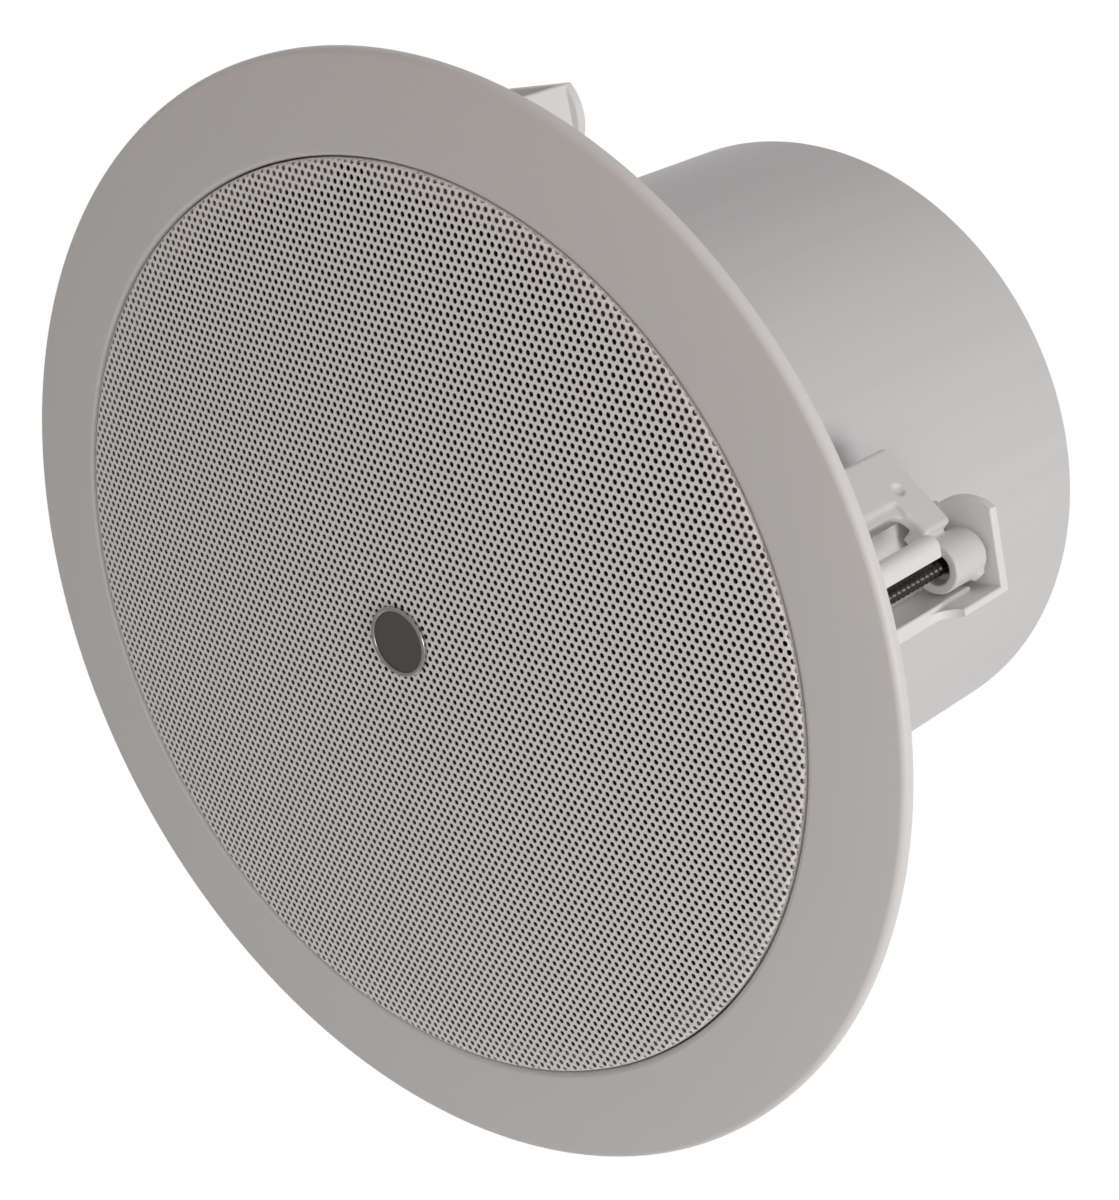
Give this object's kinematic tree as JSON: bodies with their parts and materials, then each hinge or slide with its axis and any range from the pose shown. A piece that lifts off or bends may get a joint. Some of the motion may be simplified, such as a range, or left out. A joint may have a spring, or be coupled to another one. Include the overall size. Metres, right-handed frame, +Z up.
{
  "type": "in-ceiling speaker",
  "caption": "Round in-ceiling loudspeaker with a domed perforated grille in a white bezel, screw-driven swing clamps and a closed cylindrical back can.",
  "frame": {"origin": "centre of the flange's seating face, which lies against the ceiling", "axes": "+Z up into the ceiling along the speaker's axis, the grille faces -Z, +X and +Y run through the clamps"},
  "size_m": [0.263, 0.263, 0.1775],
  "materials": {
    "frame_white": "fine-grained moulded white",
    "arm_white": "smooth moulded warm white",
    "grille_paint": "matt powder coat",
    "scrim_cloth": "black open weave",
    "badge_metal": "satin face with a bright rim",
    "can_paint": "satin pale grey",
    "foam": "closed-cell foam",
    "screw_black": "black oxide",
    "screw_zinc": "zinc plated",
    "insert_brass": "turned",
    "basket_black": "black paint",
    "rubber_black": "matt",
    "cone_black": "matt",
    "spider_cloth": "resin-treated cloth",
    "coil_copper": "enamelled copper wire",
    "plate_steel": "zinc plated",
    "ferrite": "ground ferrite",
    "tweeter_black": "satin",
    "dome_cloth": "coated cloth",
    "board_green": "solder mask",
    "capacitor_red": "shrink sleeve",
    "resistor_cement": "cement",
    "block_white": "moulded"
  },
  "bodies": {
    "speaker": {"front_frame": "frame_white", "grille": "grille_paint", "grille_scrim": "scrim_cloth", "badge": "badge_metal", "back_can": "can_paint", "can_gasket": "foam", "can_screws": "screw_zinc", "woofer_basket": "basket_black", "basket_gasket": "foam", "woofer_screws": "screw_black", "surround": "rubber_black", "spider": "spider_cloth", "top_plate": "plate_steel", "magnet": "ferrite", "pole_yoke": "plate_steel", "tweeter_housing": "tweeter_black", "tweeter_magnet": "plate_steel", "tweeter_dome": "dome_cloth", "crossover_board": "board_green", "board_standoffs": "screw_zinc", "board_screws": "screw_zinc", "crossover_coil": "coil_copper", "crossover_capacitor": "capacitor_red", "crossover_resistor": "resistor_cement", "terminal_cover": "can_paint", "cover_screws": "screw_zinc", "cable_grommet": "rubber_black", "terminal_block": "block_white", "safety_eye": "screw_zinc", "eye_nut": "screw_zinc"},
    "woofer_cone": {"cone": "cone_black", "voice_coil": "coil_copper"},
    "clamp_nut_1": {"clamp_insert_1": "insert_brass"},
    "clamp_arm_1": {"clamp_arm_1": "arm_white"},
    "clamp_screw_1": {"clamp_screw_1": "screw_black", "screw_clip_1": "screw_zinc"},
    "clamp_nut_2": {"clamp_insert_2": "insert_brass"},
    "clamp_arm_2": {"clamp_arm_2": "arm_white"},
    "clamp_screw_2": {"clamp_screw_2": "screw_black", "screw_clip_2": "screw_zinc"},
    "clamp_nut_3": {"clamp_insert_3": "insert_brass"},
    "clamp_arm_3": {"clamp_arm_3": "arm_white"},
    "clamp_screw_3": {"clamp_screw_3": "screw_black", "screw_clip_3": "screw_zinc"},
    "clamp_nut_4": {"clamp_insert_4": "insert_brass"},
    "clamp_arm_4": {"clamp_arm_4": "arm_white"},
    "clamp_screw_4": {"clamp_screw_4": "screw_black", "screw_clip_4": "screw_zinc"}
  },
  "joints": [
    {"name": "woofer_stroke", "type": "slide", "parent": "speaker", "child": "woofer_cone", "axis": [0, 0, 1], "range_m": [-0.003, 0.003], "stiffness_N_per_m": 1250, "deforming": ["surround", "spider"]},
    {"name": "clamp_screw_turn_1", "type": "hinge", "parent": "speaker", "child": "clamp_screw_1", "pos_m": [0.1015, 0, 0], "axis": [0, 0, 1], "continuous": true},
    {"name": "clamp_slide_1", "type": "slide", "parent": "speaker", "child": "clamp_nut_1", "axis": [0, 0, -1], "range_m": [0, 0.0305]},
    {"name": "clamp_swing_1", "type": "hinge", "parent": "clamp_nut_1", "child": "clamp_arm_1", "pos_m": [0.1015, 0, 0.06], "axis": [0, 0, 1], "range_deg": [0, 132]},
    {"name": "clamp_screw_turn_2", "type": "hinge", "parent": "speaker", "child": "clamp_screw_2", "pos_m": [0, 0.1015, 0], "axis": [0, 0, 1], "continuous": true},
    {"name": "clamp_slide_2", "type": "slide", "parent": "speaker", "child": "clamp_nut_2", "axis": [0, 0, -1], "range_m": [0, 0.0305]},
    {"name": "clamp_swing_2", "type": "hinge", "parent": "clamp_nut_2", "child": "clamp_arm_2", "pos_m": [0, 0.1015, 0.06], "axis": [0, 0, 1], "range_deg": [0, 132]},
    {"name": "clamp_screw_turn_3", "type": "hinge", "parent": "speaker", "child": "clamp_screw_3", "pos_m": [-0.1015, 0, 0], "axis": [0, 0, 1], "continuous": true},
    {"name": "clamp_slide_3", "type": "slide", "parent": "speaker", "child": "clamp_nut_3", "axis": [0, 0, -1], "range_m": [0, 0.0305]},
    {"name": "clamp_swing_3", "type": "hinge", "parent": "clamp_nut_3", "child": "clamp_arm_3", "pos_m": [-0.1015, 0, 0.06], "axis": [0, 0, 1], "range_deg": [0, 132]},
    {"name": "clamp_screw_turn_4", "type": "hinge", "parent": "speaker", "child": "clamp_screw_4", "pos_m": [0, -0.1015, 0], "axis": [0, 0, 1], "continuous": true},
    {"name": "clamp_slide_4", "type": "slide", "parent": "speaker", "child": "clamp_nut_4", "axis": [0, 0, -1], "range_m": [0, 0.0305]},
    {"name": "clamp_swing_4", "type": "hinge", "parent": "clamp_nut_4", "child": "clamp_arm_4", "pos_m": [0, -0.1015, 0.06], "axis": [0, 0, 1], "range_deg": [0, 132]}
  ],
  "couplings": [
    {"joint": "clamp_screw_turn_1", "follows": "clamp_slide_1", "rad_per_m": 3590.4},
    {"joint": "clamp_screw_turn_2", "follows": "clamp_slide_2", "rad_per_m": 3590.4},
    {"joint": "clamp_screw_turn_3", "follows": "clamp_slide_3", "rad_per_m": 3590.4},
    {"joint": "clamp_screw_turn_4", "follows": "clamp_slide_4", "rad_per_m": 3590.4}
  ]
}
